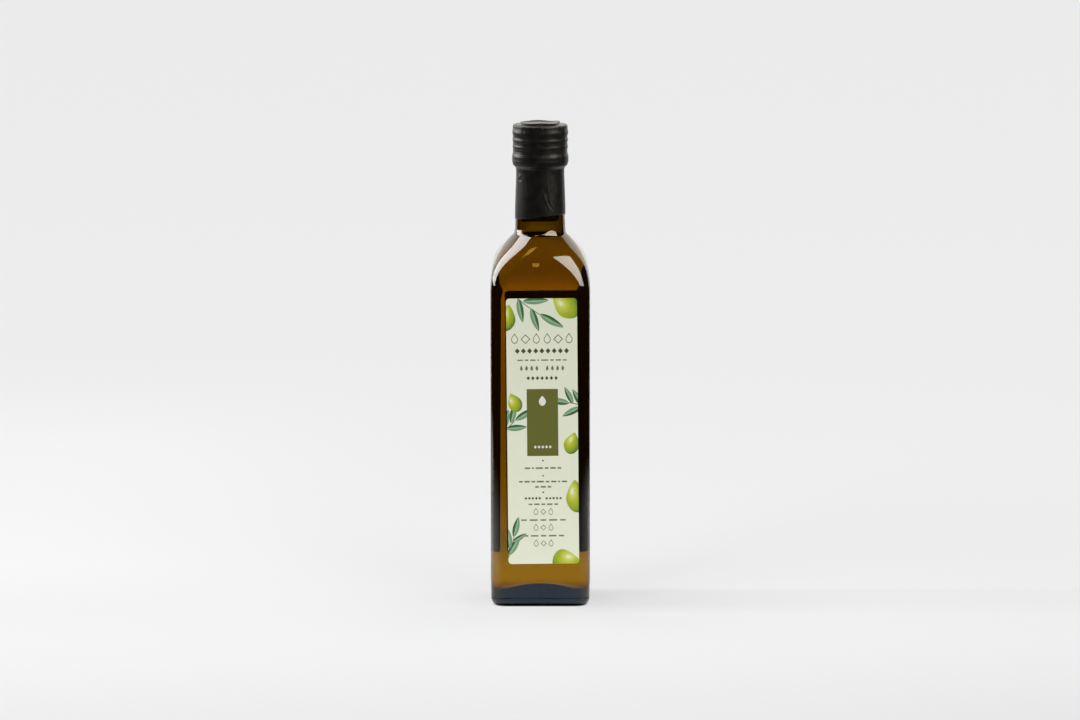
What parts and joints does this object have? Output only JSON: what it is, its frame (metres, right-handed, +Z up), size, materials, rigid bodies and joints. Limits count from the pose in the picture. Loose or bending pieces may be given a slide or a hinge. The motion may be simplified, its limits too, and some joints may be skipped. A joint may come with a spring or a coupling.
{
  "type": "olive oil bottle",
  "caption": "Tall square glass bottle of olive oil with rounded shoulders, a round neck, a shrink capsule over the closure, and a front and a back label.",
  "frame": {"origin": "centre of the bottle's base, on the surface that it stands on", "axes": "+Z up along the bottle, -Y out of the front label, +X to the viewer's right when the front label is seen"},
  "size_m": [0.056, 0.0572, 0.2722],
  "materials": {
    "glass": "clear amber-green bottle glass, glossy",
    "oil": "clear golden oil, which a glossy see-through solid stands for",
    "capsule": "satin black shrink film with soft ridges",
    "label": "smooth coated paper printed in greens"
  },
  "bodies": {
    "root": {"bottle": "glass", "oil": "oil", "capsule": "capsule", "capsule_disc": "capsule", "front_label": "label", "back_label": "label"}
  },
  "joints": []
}
